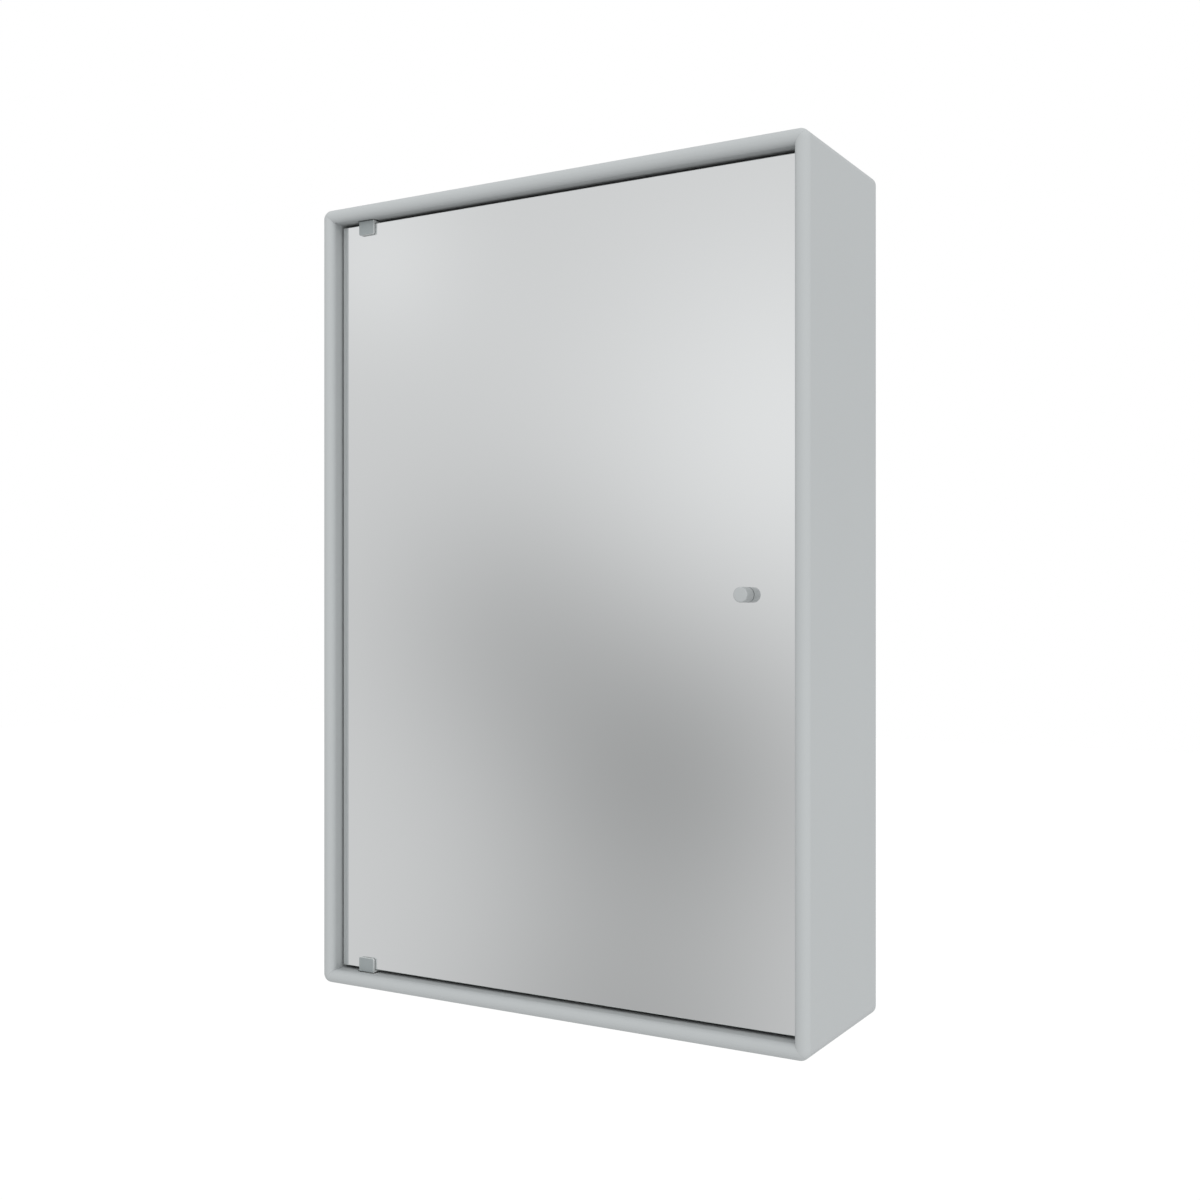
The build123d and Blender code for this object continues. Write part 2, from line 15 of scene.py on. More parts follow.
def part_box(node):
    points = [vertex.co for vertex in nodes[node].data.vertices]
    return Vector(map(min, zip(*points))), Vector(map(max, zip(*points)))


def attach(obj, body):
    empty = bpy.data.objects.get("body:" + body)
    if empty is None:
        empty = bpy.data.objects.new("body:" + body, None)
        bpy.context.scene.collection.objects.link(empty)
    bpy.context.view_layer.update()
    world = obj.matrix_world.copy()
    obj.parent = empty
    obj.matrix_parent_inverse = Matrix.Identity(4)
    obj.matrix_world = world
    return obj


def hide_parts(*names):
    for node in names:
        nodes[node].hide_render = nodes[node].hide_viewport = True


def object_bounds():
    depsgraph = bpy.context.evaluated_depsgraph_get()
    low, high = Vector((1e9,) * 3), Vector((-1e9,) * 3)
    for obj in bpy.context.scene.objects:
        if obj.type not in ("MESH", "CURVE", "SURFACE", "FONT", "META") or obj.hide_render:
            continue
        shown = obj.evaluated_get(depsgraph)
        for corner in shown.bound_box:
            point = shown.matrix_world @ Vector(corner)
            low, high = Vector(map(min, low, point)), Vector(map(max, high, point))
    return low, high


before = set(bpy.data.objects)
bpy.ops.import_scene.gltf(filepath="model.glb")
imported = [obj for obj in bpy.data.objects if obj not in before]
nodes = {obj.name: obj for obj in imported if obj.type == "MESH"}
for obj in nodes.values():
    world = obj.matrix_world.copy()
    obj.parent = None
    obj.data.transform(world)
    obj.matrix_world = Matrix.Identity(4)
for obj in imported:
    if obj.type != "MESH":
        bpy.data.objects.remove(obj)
cad_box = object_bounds()
MM = 0.001
print("nodes", len(nodes), "box", [round(c, 4) for p in cad_box for c in p])

# %% [markdown]
# The camera stands where the photograph was taken from. It is level, a little over a metre in front of the
# cabinet and to its right, and turned so that the front and the right side both show. A level camera keeps
# the upright edges upright, as the photograph has them. The photograph's horizon lies a few pixels under its
# middle, and a very small shift puts it there without tilting anything.

# %% Camera
PHOTO_SIZE = 1200
PHOTO_HORIZON_ROW = 605.9
FIELD_OF_VIEW = math.radians(45.0)
CAMERA_TURN = math.radians(30.1)
CAMERA_SIDEWAYS = 404.8 * MM
CAMERA_DISTANCE = 1004.7 * MM
CAMERA_BELOW_MIDDLE = 8.54 * MM

low, high = cad_box
middle_z = (low.z + high.z) / 2
camera = bpy.data.objects.new("camera", bpy.data.cameras.new("camera"))
bpy.context.scene.collection.objects.link(camera)
camera.location = (high.x + CAMERA_SIDEWAYS, low.y - CAMERA_DISTANCE, middle_z - CAMERA_BELOW_MIDDLE)
camera.rotation_euler = (math.radians(90), 0, CAMERA_TURN)
camera.data.lens = camera.data.sensor_width / 2 / math.tan(FIELD_OF_VIEW / 2)
camera.data.shift_y = (PHOTO_HORIZON_ROW - PHOTO_SIZE / 2) / PHOTO_SIZE
camera.data.clip_start = 10 * MM
camera.data.clip_end = 100
bpy.context.scene.camera = camera
print("camera at", [round(c, 3) for c in camera.location], "lens", round(camera.data.lens, 2))

# %% [markdown]
# A material is a small circuit of nodes. Written out by hand, its arithmetic is hard to read, so one small
# class holds a socket and lets Python's own signs add the Math nodes. With it, a pattern reads like the
# formula that it is.

# %% Wire
class Wire:
    """One socket of a node tree. Arithmetic on it adds Math nodes to the same tree."""

    def __init__(self, bench, socket):
        self.bench = bench
        self.socket = socket

    def math(self, operation, *values):
        return self.bench.add("ShaderNodeMath", {"operation": operation}, dict(enumerate(values)))

    def __add__(self, other):
        return self.math("ADD", self, other)

    __radd__ = __add__

    def __sub__(self, other):
        return self.math("SUBTRACT", self, other)

    def __rsub__(self, other):
        return self.math("SUBTRACT", other, self)

    def __mul__(self, other):
        return self.math("MULTIPLY", self, other)

    __rmul__ = __mul__

    def __abs__(self):
        return self.math("ABSOLUTE", self)

    def exp(self):
        return self.math("EXPONENT", self)

    def smallest(self, other):
        return self.math("MINIMUM", self, other)

    def largest(self, other):
        return self.math("MAXIMUM", self, other)

    def around(self, middle, spread):
        """A share from 0 to 1 as a value that strays half the spread to either side of its middle."""
        return self * spread + (middle - spread / 2)

    def rise(self, start, end):
        """0 up to start, 1 from end on, and smooth between."""
        settings = {"interpolation_type": "SMOOTHSTEP"}
        return self.bench.add("ShaderNodeMapRange", settings, {"Value": self, 1: start, 2: end, 3: 0, 4: 1})


print("a wire knows", sum(callable(part) for part in vars(Wire).values()), "operations")

# %% [markdown]
# A second class owns a node tree. It has the one method that adds any node, from its type, its settings and
# the values or links of its sockets. The patterns that several finishes share are short methods beside it.

# %% Bench
class Bench:
    """A node tree, with one method that adds any node to it."""

    def __init__(self, tree):
        self.tree = tree

    def add(self, kind, settings=None, inputs=None, output=0):
        node = self.tree.nodes.new(kind)
        for key, value in (settings or {}).items():
            setattr(node, key, value)
        for key, value in (inputs or {}).items():
            if isinstance(value, Wire):
                self.tree.links.new(value.socket, node.inputs[key])
            else:
                node.inputs[key].default_value = value
        return Wire(self, node.outputs[output])

    def place(self):
        """Where the point lies on the object, in metres."""
        return self.add("ShaderNodeTexCoord", output="Object")

    def numbers(self, vector, axes="XYZ"):
        """The numbers of a vector along the axes that are asked for."""
        return [self.add("ShaderNodeSeparateXYZ", inputs={0: vector}, output=axis) for axis in axes]

    def noise(self, place, grains_per_metre, detail=2.0, stretch=(1, 1, 1)):
        """Cloudy noise from 0 to 1. A stretch under 1 draws it out along that axis."""
        turned = self.add("ShaderNodeMapping", inputs={"Vector": place, "Scale": stretch})
        inputs = {"Vector": turned, "Scale": grains_per_metre, "Detail": detail}
        return self.add("ShaderNodeTexNoise", inputs=inputs)

    def blend(self, share, first, second):
        """The first colour where share is 0 and the second where it is 1."""
        settings = {"data_type": "RGBA"}
        return self.add("ShaderNodeMix", settings, {0: share, 6: first, 7: second}, output=2)

    def vary(self, share, colour, least, most):
        """One colour, from its least to its most factor as share goes from 0 to 1."""
        return self.blend(share, shade(colour, least), shade(colour, most))

    def bump(self, height, depth):
        """A relief that is as deep as it says, in metres, and that only the light shows."""
        return self.add("ShaderNodeBump", inputs={"Height": height, "Distance": depth, "Strength": 1.0})


print("a bench has", sum(callable(part) for part in vars(Bench).values()), "methods")

# %% [markdown]
# A finish is a bench with one Principled shader. What is the same all over the surface is set on the shader's
# own socket, and what changes from place to place is fed to it. Colours are given as a paint card gives them,
# and turned into the linear values that light is reckoned in.

# %% Finish and colours
class Finish(Bench):
    """A new material with one Principled shader."""

    def __init__(self, name, **constants):
        self.material = bpy.data.materials.new(name)
        self.material.use_nodes = True
        super().__init__(self.material.node_tree)
        self.shader = self.tree.nodes["Principled BSDF"]
        for key, value in constants.items():
            self.shader.inputs[key.replace("_", " ")].default_value = value

    def feed(self, socket, wire):
        self.tree.links.new(wire.socket, self.shader.inputs[socket])


def tone(red, green, blue):
    """A colour as a paint card gives it, from 0 to 255, turned to the linear values that shaders use."""
    shares = [c / 255 for c in (red, green, blue)]
    return tuple(s / 12.92 if s <= 0.04045 else ((s + 0.055) / 1.055) ** 2.4 for s in shares) + (1.0,)


def shade(colour, factor):
    """The same colour, lighter or darker."""
    return tuple(c * factor for c in colour[:3]) + (1.0,)


print("a paint card's 128 is", round(tone(128, 128, 128)[0], 3), "to a shader")

# %% [markdown]
# The boards are sprayed with a satin lacquer in a cool light grey. Sprayed lacquer is never quite flat:
# close up it has a very fine orange peel, and its gloss drifts a little from place to place. The rounded nose
# looks a shade lighter than the flat faces, by more than its roundness gives in soft light, so a painted
# highlight makes its colour lighter: the lacquer is the same, and the extra light is painted in. The boards
# meet in mitres, and there the lacquer has a hair-fine line. Nose and line follow from the boards' own size,
# so they are drawn with arithmetic on the place: the nose is what lies less than its radius behind the front,
# and a mitre is where a point is as far in from the side as from the end.

# %% Lacquer
LACQUER = tone(186, 190, 191)
BACK_LACQUER = tone(196, 199, 199)
DRIFT_PER_METRE = 9
PEEL_PER_METRE = 700
PEEL_DEPTH = 0.012 * MM
NOSE_DEPTH = 5.9 * MM
NOSE_SOFTNESS = 0.1 * MM
# Painted highlight: how much lighter the nose's colour is made.
NOSE_PAINTED_LIGHT = 1.05
MITRE_LINE = 0.12 * MM
MITRE_SHADE = 0.45


def mitre_mask(x, z):
    """1 on the four mitre lines at the corners, and 0 elsewhere."""
    from_side = high.x - abs(x)
    from_end = (high.z - low.z) / 2 - abs(z - middle_z)
    return 1 - abs(from_side - from_end).rise(MITRE_LINE / 2, MITRE_LINE)


def nose_light_mask(y):
    """1 on the boards' rounded front edge, which gets a painted highlight, and 0 on their flat faces."""
    return 1 - (y - low.y).rise(NOSE_DEPTH - NOSE_SOFTNESS, NOSE_DEPTH + NOSE_SOFTNESS)


def lacquer(name, colour, roughness, mitred=False):
    """Sprayed satin lacquer."""
    finish = Finish(name)
    place = finish.place()
    drift = finish.noise(place, DRIFT_PER_METRE)
    peel = finish.noise(place, PEEL_PER_METRE, detail=1.0)
    coat = finish.vary(drift, colour, 0.985, 1.015)
    if mitred:
        x, y, z = finish.numbers(place)
        # Painted highlight: the nose's colour is made lighter to stand in for the light on it.
        coat = finish.blend(nose_light_mask(y), coat, shade(colour, NOSE_PAINTED_LIGHT))
        coat = finish.blend(mitre_mask(x, z) * MITRE_SHADE, coat, shade(colour, MITRE_SHADE))
    finish.feed("Base Color", coat)
    finish.feed("Roughness", drift.around(roughness, 0.08))
    finish.feed("Normal", finish.bump(peel, PEEL_DEPTH))
    return finish.material


def dress(material, *names):
    """Gives the finish to the model's own nodes, through their material slots."""
    for name in names:
        piece = nodes[name]
        if not piece.material_slots:
            piece.data.materials.append(material)
        for slot in piece.material_slots:
            slot.material = material


board_lacquer = lacquer("board_lacquer", LACQUER, 0.42, mitred=True)
knob_lacquer = lacquer("knob_lacquer", LACQUER, 0.38)
back_lacquer = lacquer("back_lacquer", BACK_LACQUER, 0.5)
dress(board_lacquer, "top_board", "bottom_board", "left_board", "right_board")
dress(back_lacquer, "back_panel")
print("lacquer on the boards, with a nose", round(NOSE_DEPTH / MM, 1), "mm deep, and on the back panel")

# %% [markdown]
# The door is a silvered pane. A mirror is glass in front of a film of silver, but what the eye sees is the
# silver, so a metal with hardly any roughness is the plain way to make it. Two things keep it from looking
# like a hole: the silver takes a little of the light, and the pane's ground edge isn't silvered. Its arris is
# frosted and catches light in a thin pale line, and behind that the glass shows its thickness in deep green.
# That green is painted darker than the glass alone is, as painted shade, so the gap round the door stays
# dark.
# The edge is found by the distance to the border, and the two parts of it by the distance from the front.

# %% Mirror
SILVER = tone(244, 245, 245)
ARRIS_GLASS = tone(238, 244, 242)
# The edge's green, made darker as painted shade for the gap round the door.
EDGE_GLASS_AND_GAP_SHADE = tone(50, 68, 62)
ARRIS = 0.5 * MM
ARRIS_ROUGHNESS = 0.342
SILVER_ROUGHNESS = 0.012


def border_mask(x, z, corners, width):
    """1 on a band of the given width along a pane's border."""
    near, far = corners
    from_side = (far.x - near.x) / 2 - abs(x - (far.x + near.x) / 2)
    from_end = (far.z - near.z) / 2 - abs(z - (far.z + near.z) / 2)
    return 1 - from_side.smallest(from_end).rise(width * 0.9, width * 1.1)


def mirror():
    """Silver behind polished glass, with a ground edge."""
    finish = Finish("mirror_silver")
    x, y, z = finish.numbers(finish.place())
    near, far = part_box("mirror_glass")
    edge = border_mask(x, z, (near, far), ARRIS)
    # The dark green edge is partly the glass's own colour and partly painted shade for the gap round the
    # door.
    ground = finish.blend((y - near.y).rise(ARRIS * 0.9, ARRIS * 1.3), ARRIS_GLASS, EDGE_GLASS_AND_GAP_SHADE)
    finish.feed("Base Color", finish.blend(edge, SILVER, ground))
    finish.feed("Metallic", 1 - edge)
    finish.feed("Roughness", edge * (ARRIS_ROUGHNESS - SILVER_ROUGHNESS) + SILVER_ROUGHNESS)
    return finish.material


dress(mirror(), "mirror_glass")

# %% [markdown]
# Behind the silver a painted safety sheet keeps the pieces together if the pane breaks. It shows only when
# the door is open. Its paint is a flat grey with a faint roller grain.

# %% Safety sheet
SHEET_PAINT = tone(128, 134, 136)
ROLLER_PER_METRE = 260
ROLLER_DEPTH = 0.04 * MM


def rolled_paint(name, colour):
    """Flat paint with the fine grain that a roller leaves."""
    finish = Finish(name)
    grain = finish.noise(finish.place(), ROLLER_PER_METRE, detail=4.0, stretch=(1, 1, 0.35))
    finish.feed("Base Color", finish.vary(grain, colour, 0.93, 1.07))
    finish.feed("Roughness", grain * 0.15 + 0.5)
    finish.feed("Normal", finish.bump(grain, ROLLER_DEPTH))
    return finish.material


dress(rolled_paint("safety_sheet", SHEET_PAINT), "mirror_backing")

# %% [markdown]
# The two pivot clips are small metal castings. Their front is coated in a satin grey, a step darker than the
# cabinet, and their narrow sides are painted pale, a painted highlight for the light that their edges catch,
# so that each clip has a pale outline. Both colours are on one piece, so the material asks how far back a
# point lies from the clip's front, and changes over there.

# %% Clips
CLIP_COAT = tone(156, 163, 164)
# Painted highlight: the pale colour of the clips' sides.
CLIP_SIDE_HIGHLIGHT = tone(222, 226, 226)
CLIP_DRIFT_PER_METRE = 220
CLIP_GRAIN_PER_METRE = 1500
CLIP_GRAIN_DEPTH = 0.01 * MM
CLIP_COAT_ENDS = 0.1 * MM
CLIP_SIDE_STARTS = 0.3 * MM


def clip_finish(name, front_y):
    """Satin coat on the front, with a painted highlight on the sides behind it."""
    finish = Finish(name)
    place = finish.place()
    (y,) = finish.numbers(place, "Y")
    drift = finish.noise(place, CLIP_DRIFT_PER_METRE)
    grain = finish.noise(place, CLIP_GRAIN_PER_METRE, detail=3.0, stretch=(1, 0.2, 1))
    highlight_share = (y - front_y).rise(CLIP_COAT_ENDS, CLIP_SIDE_STARTS)
    coat = finish.vary(drift, CLIP_COAT, 0.97, 1.03)
    # The sides' pale colour is a painted highlight, for the light that their edges catch.
    side_highlight = finish.vary(drift, CLIP_SIDE_HIGHLIGHT, 0.96, 1.02)
    finish.feed("Base Color", finish.blend(highlight_share, coat, side_highlight))
    finish.feed("Roughness", grain * 0.1 + 0.32)
    finish.feed("Normal", finish.bump(grain, CLIP_GRAIN_DEPTH))
    return finish.material


clip_front_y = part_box("hinge_clip_top")[0].y
dress(clip_finish("clip_lacquer", clip_front_y), "hinge_clip_top", "hinge_clip_bottom")
print("clips, their front at", round(clip_front_y / MM, 1), "mm")

# %% [markdown]
# Turned and pressed steel shows the way it was worked: fine lines that run round a turned part or along a
# rolled one. The lines are noise that is drawn out along one axis. They change the gloss much more than the
# colour, which is what makes steel look brushed and not striped.

# %% Steel
UPRIGHT_STEEL = tone(196, 198, 200)
INWARD_STEEL = tone(190, 192, 195)
STEEL_ROUGHNESS = 0.3
LINES_PER_METRE = 1800
LINE_DEPTH = 0.006 * MM
CLOUDS_PER_METRE = 60


def steel(name, colour, lines):
    """Satin steel, with fine lines drawn out along the axis whose stretch is small."""
    finish = Finish(name, Metallic=1.0)
    place = finish.place()
    brushed = finish.noise(place, LINES_PER_METRE, detail=3.0, stretch=lines)
    clouds = finish.noise(place, CLOUDS_PER_METRE)
    finish.feed("Base Color", finish.vary(clouds, colour, 0.94, 1.04))
    finish.feed("Roughness", brushed.around(STEEL_ROUGHNESS, 0.22))
    finish.feed("Normal", finish.bump(brushed, LINE_DEPTH))
    return finish.material


upright_steel = steel("turned_steel", UPRIGHT_STEEL, (0.05, 0.05, 1))
inward_steel = steel("machined_steel", INWARD_STEEL, (1, 0.05, 1))
dress(upright_steel, "pivot_pin_top", "pivot_pin_bottom", "shelf_1_pins", "shelf_2_pins")
dress(inward_steel, "clip_grub_screws", "knob_screw", "knob_washer_rear", "strike_plate")
dress(inward_steel, "rail_bolts", "rail_nuts", "catch_screws", "catch_pole_plates")
print("steel, with", LINES_PER_METRE, "lines a metre")

# %% [markdown]
# The rails that carry the cabinet are folded from zinc-coated strip. Hot zinc freezes in flat crystals, so
# the strip has a patchwork of slightly different greys, each with its own gloss. A cell pattern gives that.

# %% Zinc strip
ZINC = tone(188, 192, 196)
CRYSTALS_PER_METRE = 220
SCRATCHES_PER_METRE = 900
CRYSTAL_DEPTH = 0.004 * MM


def zinc(name, colour):
    """Zinc-coated steel with its frozen crystals."""
    finish = Finish(name, Metallic=1.0)
    place = finish.place()
    cells = {"Vector": place, "Scale": CRYSTALS_PER_METRE}
    crystals = finish.add("ShaderNodeTexVoronoi", {"feature": "F1"}, cells, "Color")
    flake = finish.add("ShaderNodeSeparateColor", inputs={0: crystals}, output=0)
    scratch = finish.noise(place, SCRATCHES_PER_METRE, detail=3.0, stretch=(0.03, 1, 1))
    finish.feed("Base Color", finish.vary(flake, colour, 0.88, 1.06))
    finish.feed("Roughness", flake * 0.16 + scratch * 0.1 + 0.28)
    finish.feed("Normal", finish.bump(flake, CRYSTAL_DEPTH))
    return finish.material


dress(zinc("zinc_strip", ZINC), "hanging_rail", "wall_rail")
print("zinc, with crystals", round(1000 / CRYSTALS_PER_METRE, 1), "mm across")

# %% [markdown]
# Rubber, moulded plastic and the ferrite magnet are all dull, and differ in grain. Rubber is almost black
# with a soft bloom, or grey as under the knob. Plastic has the fine even sparkle of the mould. Ferrite is a
# pressed powder, so it is pitted. One function makes them all from a grain size, a depth and a roughness.

# %% Rubber, plastic and ferrite
BLOOM_PER_METRE = 120


def grained(name, colour, grains, depth, roughness):
    """A dull material with an even grain."""
    finish = Finish(name)
    place = finish.place()
    grain = finish.noise(place, grains, detail=3.0)
    bloom = finish.noise(place, BLOOM_PER_METRE)
    finish.feed("Base Color", finish.vary(bloom, colour, 0.92, 1.08))
    finish.feed("Roughness", grain.around(roughness, 0.2))
    finish.feed("Normal", finish.bump(grain, depth))
    return finish.material


rubber = grained("pad_rubber", tone(46, 47, 48), 900, 0.05 * MM, 0.75)
washer_rubber = grained("washer_rubber", tone(128, 132, 133), 1500, 0.02 * MM, 0.6)
housing_plastic = grained("moulded_plastic", tone(205, 207, 206), 1500, 0.02 * MM, 0.45)
bush_plastic = grained("bush_plastic", tone(214, 214, 209), 1500, 0.02 * MM, 0.4)
ferrite = grained("ferrite", tone(58, 58, 61), 2200, 0.06 * MM, 0.6)
dress(rubber, "wall_pads", "clip_liners")
dress(washer_rubber, "knob_washer_front")
dress(housing_plastic, "catch_housing")
dress(bush_plastic, "pivot_bush_top", "pivot_bush_bottom")
dress(ferrite, "catch_magnet")
print("rubber, plastic and ferrite, with a bloom every", round(1000 / BLOOM_PER_METRE, 1), "mm")

# %% [markdown]
# The loose tongues in the mitres are beech. Nobody sees them in the finished cabinet, but the piece is there
# when it is taken apart. The grain runs along the tongue, with short dark flecks.

# %% Beech
BEECH = tone(196, 158, 116)
RINGS_PER_METRE = 320
FLECKS_PER_METRE = 1400
RING_DEPTH = 0.05 * MM


def beech(name, colour):
    """Planed beech with its grain along Y."""
    finish = Finish(name)
    place = finish.place()
    rings = finish.noise(place, RINGS_PER_METRE, detail=2.0, stretch=(1, 0.06, 1))
    flecks = finish.noise(place, FLECKS_PER_METRE, detail=1.0, stretch=(1, 0.15, 1)).rise(0.62, 0.7)
    wood = finish.vary(rings, colour, 0.8, 1.12)
    finish.feed("Base Color", finish.blend(flecks * 0.5, wood, shade(colour, 0.55)))
    finish.feed("Roughness", rings * 0.15 + 0.55)
    finish.feed("Normal", finish.bump(rings, RING_DEPTH))
    return finish.material


dress(beech("beech", BEECH), "corner_splines")
print("beech, with", RINGS_PER_METRE, "rings a metre")

# %% [markdown]
# The shelves are clear float glass. Seen through its face such glass is nearly colourless, and seen through
# its edge it is green, because the light comes a long way through it. So the edge is found by the distance
# to the shelf's border, as on the mirror, and gets the deeper colour.

# %% Shelf glass
SHELF_FACE = tone(247, 252, 250)
SHELF_EDGE = tone(120, 176, 160)
EDGE_ENDS = 0.3 * MM
FACE_STARTS = 0.9 * MM


def shelf_glass(name, corners):
    """Clear glass whose edges are green."""
    finish = Finish(name, Transmission_Weight=1.0, IOR=1.5)
    x, y = finish.numbers(finish.place(), "XY")
    near, far = corners
    from_front = (far.y - near.y) / 2 - abs(y - (far.y + near.y) / 2)
    from_side = (far.x - near.x) / 2 - abs(x - (far.x + near.x) / 2)
    edge = 1 - from_front.smallest(from_side).rise(EDGE_ENDS, FACE_STARTS)
    finish.feed("Base Color", finish.blend(edge, SHELF_FACE, SHELF_EDGE))
    finish.feed("Roughness", edge * 0.12 + 0.01)
    return finish.material


for shelf in ("shelf_1", "shelf_2"):
    dress(shelf_glass(f"{shelf}_glass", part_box(shelf)), shelf)

# %% [markdown]
# Two of the pieces are turned forms, and a turned form is one line spun about its axis. So that is how they
# are made: half of the section is drawn as edges, with each eased edge as a few points on an arc, and a spin
# of a full turn closes it. Where the line meets the axis the spin leaves doubles, and it can turn a shape
# inside out, so the doubles are merged and then the normals are recalculated.

# %% Turned pieces
SPIN_STEPS = 96


def arc(centre, radius, start, end, steps=8):
    """Points on an arc, each as a distance from the axis and a place along it."""
    angles = [math.radians(start + (end - start) * n / steps) for n in range(steps + 1)]
    return [(centre[0] + radius * math.cos(a), centre[1] + radius * math.sin(a)) for a in angles]


def turned(shape, section, axis_x, axis_z):
    """Spins a section about a line along Y and adds the result to the bmesh."""
    points = [shape.verts.new((axis_x + out, along, axis_z)) for out, along in section]
    line = [shape.edges.new(pair) for pair in zip(points, points[1:])]
    centre = Vector((axis_x, 0, axis_z))
    turn = {"cent": centre, "axis": (0, 1, 0), "angle": math.tau, "steps": SPIN_STEPS}
    bmesh.ops.spin(shape, geom=points + line, use_merge=True, **turn)


def finished(shape, name, material, body):
    """Closes a bmesh into a piece that rides on its body, shaded smooth but for its sharp edges."""
    bmesh.ops.remove_doubles(shape, verts=shape.verts, dist=0.001 * MM)
    bmesh.ops.recalc_face_normals(shape, faces=shape.faces)
    for edge in shape.edges:
        edge.smooth = edge.calc_face_angle(0) < math.radians(30)
    for face in shape.faces:
        face.smooth = True
    mesh = bpy.data.meshes.new(name)
    shape.to_mesh(mesh)
    shape.free()
    piece = bpy.data.objects.new(name, mesh)
    bpy.context.scene.collection.objects.link(piece)
    mesh.materials.append(material)
    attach(piece, body)
    print(name, "faces", len(mesh.polygons))
    return piece


# %% [markdown]
# The knob is a small turned cylinder with a soft front edge, lacquered like the boards. Its edge is finer
# here than the model's. The screw's hole from behind is in the same section, so that one spin makes both.

# %% Knob
KNOB_EDGE = 1.2 * MM
KNOB_REAR_EDGE = 0.3 * MM
KNOB_BORE = 2.05 * MM
KNOB_BORE_DEPTH = 9 * MM

near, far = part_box("knob")
knob_radius = (far.x - near.x) / 2
knob_x = (far.x + near.x) / 2
edge_centre = (knob_radius - KNOB_EDGE, near.y + KNOB_EDGE)
section = [(0, far.y - KNOB_BORE_DEPTH), (KNOB_BORE, far.y - KNOB_BORE_DEPTH), (KNOB_BORE, far.y)]
section += [(knob_radius - KNOB_REAR_EDGE, far.y), (knob_radius, far.y - KNOB_REAR_EDGE)]
section += arc(edge_centre, KNOB_EDGE, 0, -90)
section += [(0, near.y)]
shape = bmesh.new()
turned(shape, section, knob_x, middle_z)
knob = finished(shape, "knob_turned", knob_lacquer, "door")
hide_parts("knob")

# %% [markdown]
# The two pads at the foot keep the cabinet as far off the wall as its rails do. They are moulded rubber, with
# a ring round a hollow middle, so that the ring grips. They are turned pieces too, one section spun twice.

# %% Wall pads
PAD_RADIUS = 10 * MM
RING_INNER = 6 * MM
HOLLOW = 1.2 * MM
PAD_EDGE = 0.8 * MM

near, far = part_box("wall_pads")
pad_z = (near.z + far.z) / 2
section = [(0, near.y), (PAD_RADIUS, near.y)]
section += arc((PAD_RADIUS - PAD_EDGE, far.y - PAD_EDGE), PAD_EDGE, 0, 90, steps=6)
section += [(RING_INNER + PAD_EDGE, far.y)]
section += [(RING_INNER, far.y - HOLLOW), (0, far.y - HOLLOW)]
shape = bmesh.new()
for pad_x in (near.x + PAD_RADIUS, far.x - PAD_RADIUS):
    turned(shape, section, pad_x, pad_z)
pads = finished(shape, "wall_pads_moulded", rubber, "cabinet")
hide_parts("wall_pads")

# %% [markdown]
# The studio is a pale floor a good way under the cabinet, because a wall cabinet hangs at eye level, and
# white all round. The floor takes the cabinet's shadow, but to the camera it mostly glows, so that it runs
# into the white. It is hidden from the mirror and from the light on the boards, so that the floor has no say
# in how the cabinet looks.

# %% Floor
FLOOR_DROP = 1.2
FLOOR_SIZE = 30
FLOOR_PAINT = (0.9, 0.9, 0.9, 1)
FLOOR_GLOW = 1.04
GLOW_SHARE = 0.9
WHITE = (1, 1, 1, 1)

shape = bmesh.new()
place = Matrix.Translation((0, 0, low.z - FLOOR_DROP))
bmesh.ops.create_grid(shape, x_segments=1, y_segments=1, size=FLOOR_SIZE / 2, matrix=place)
mesh = bpy.data.meshes.new("floor")
shape.to_mesh(mesh)
shape.free()
floor = bpy.data.objects.new("floor", mesh)
bpy.context.scene.collection.objects.link(floor)
floor.visible_glossy = False
floor.visible_diffuse = False

paint = bpy.data.materials.new("floor_paint")
paint.use_nodes = True
paint.node_tree.nodes.clear()
bench = Bench(paint.node_tree)
seen = bench.add("ShaderNodeLightPath", output="Is Camera Ray")
matt = bench.add("ShaderNodeBsdfDiffuse", inputs={"Color": FLOOR_PAINT})
glow = bench.add("ShaderNodeEmission", inputs={"Color": WHITE, "Strength": FLOOR_GLOW})
mixed = bench.add("ShaderNodeMixShader", inputs={0: seen * GLOW_SHARE, 1: matt, 2: glow})
out = paint.node_tree.nodes.new("ShaderNodeOutputMaterial")
paint.node_tree.links.new(mixed.socket, out.inputs[0])
mesh.materials.append(paint)
print("floor", FLOOR_DROP, "m under the cabinet")

# %% [markdown]
# What a mirror shows is the room in front of it. This room is soft and nearly plain: pale, darker low on the
# left and lighter on the right. Each soft patch is a lobe: its weight is 1 in one direction and falls off
# smoothly around it. How near a ray comes to the lobe's middle is a dot product, and an exponential makes the
# fall-off, so a few directions, widths and strengths describe the whole room.

# %% Room
ROOM_LEVEL = 0.665
ROOM_TINT = (0.992, 1.0, 1.005, 1)
PATCHES = [
    {"azimuth": -22, "elevation": 7, "width": 6, "strength": 0.15},
    {"azimuth": -39, "elevation": 13.5, "width": 2.5, "strength": 0.10},
    {"azimuth": -27.5, "elevation": -6.5, "width": 5, "strength": -0.26},
    {"azimuth": -29.5, "elevation": -19, "width": 5, "strength": -0.23},
    {"azimuth": -34, "elevation": -0.5, "width": 4, "strength": -0.13},
    {"azimuth": 62, "elevation": 5, "width": 26, "strength": 0.26},
]


def direction(azimuth, elevation):
    """A direction from its angle to the right of straight out of the mirror, and its angle up."""
    a, e = math.radians(azimuth), math.radians(elevation)
    return (math.sin(a) * math.cos(e), -math.cos(a) * math.cos(e), math.sin(e))


print("room with", len(PATCHES), "soft patches round", [round(c, 2) for c in direction(0, 0)])

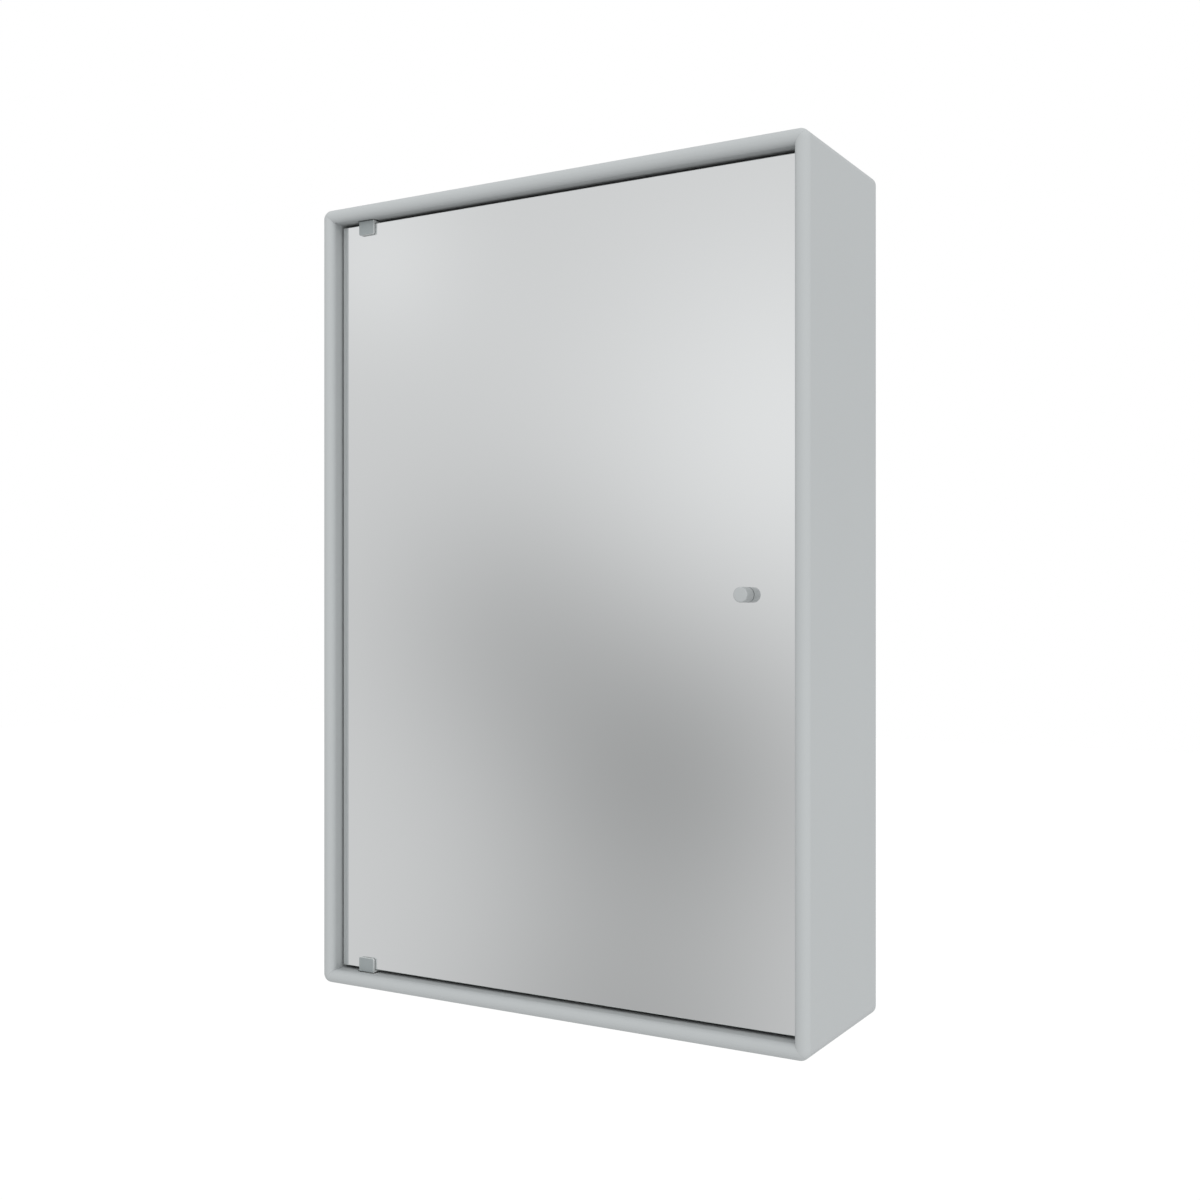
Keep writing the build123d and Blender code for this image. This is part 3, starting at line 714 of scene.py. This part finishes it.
# %% [markdown]
# The world gives each kind of ray its own answer. The camera sees white, and so does a look through glass.
# Reflections see the room. The light that falls on the cabinet comes from a dome that is brighter to the
# upper right. Light can also reach a board by way of the mirror, and then it is the room's, turned down to
# three quarters, because the room is made to be looked at and would light the boards beside it too strongly.

# %% World
DOME_LEVEL = 0.80
DOME_LEAN = (0.3, -0.12, 0.2)
BY_THE_MIRROR = 0.75

world = bpy.data.worlds.new("studio")
bpy.context.scene.world = world
world.use_nodes = True
world.node_tree.nodes.clear()
bench = Bench(world.node_tree)
ray = bench.add("ShaderNodeTexCoord", output="Generated")
light = ROOM_LEVEL
for patch in PATCHES:
    aim = direction(patch["azimuth"], patch["elevation"])
    near_aim = bench.add("ShaderNodeVectorMath", {"operation": "DOT_PRODUCT"}, {0: ray, 1: aim}, "Value")
    tightness = 1 / math.radians(patch["width"]) ** 2
    light = ((near_aim - 1) * tightness).exp() * patch["strength"] + light
bounces = bench.add("ShaderNodeLightPath", output="Diffuse Depth")
light = light * (1 - bounces.rise(0, 1) * (1 - BY_THE_MIRROR))
room = bench.add("ShaderNodeBackground", inputs={"Color": ROOM_TINT, "Strength": light})
lean = bench.add("ShaderNodeVectorMath", {"operation": "DOT_PRODUCT"}, {0: ray, 1: DOME_LEAN}, "Value")
dome = bench.add("ShaderNodeBackground", inputs={"Color": WHITE, "Strength": lean + DOME_LEVEL})
white = bench.add("ShaderNodeBackground", inputs={"Color": WHITE, "Strength": 1.0})
is_camera = bench.add("ShaderNodeLightPath", output="Is Camera Ray")
is_glossy = bench.add("ShaderNodeLightPath", output="Is Glossy Ray")
is_through = bench.add("ShaderNodeLightPath", output="Is Transmission Ray")
lit = bench.add("ShaderNodeMixShader", inputs={0: is_glossy, 1: dome, 2: room})
seen = bench.add("ShaderNodeMixShader", inputs={0: is_camera.largest(is_through), 1: lit, 2: white})
out = world.node_tree.nodes.new("ShaderNodeOutputWorld")
world.node_tree.links.new(seen.socket, out.inputs[0])
print("world of", len(world.node_tree.nodes), "nodes, the dome at", DOME_LEVEL)

# %% [markdown]
# One wide lamp hangs above the cabinet, in front of it and a little to the left, and gives the noses and the
# knob a soft shade from top to foot. It is weak, because the dome does most of the work, and the two together
# are set so that a colour renders about as it is written. The mirror doesn't show it.

# %% Lamp
KEY_PLACE = Vector((-0.3, -1.2, 0.9))
KEY_SIZE = 1.0
KEY_WATTS = 3.0

lamp = bpy.data.objects.new("key_lamp", bpy.data.lights.new("key_lamp", "AREA"))
bpy.context.scene.collection.objects.link(lamp)
lamp.data.size = KEY_SIZE
lamp.data.energy = KEY_WATTS
lamp.visible_glossy = False
lamp.location = KEY_PLACE
aim = Vector((0, low.y / 2, middle_z)) - KEY_PLACE
lamp.rotation_euler = aim.to_track_quat("-Z", "Y").to_euler()
print("lamp at", [round(c, 2) for c in lamp.location])

# %% [markdown]
# The picture is shown with the Standard view, so a colour comes out as it is written.

# %% Finish
bpy.context.scene.view_settings.view_transform = "Standard"
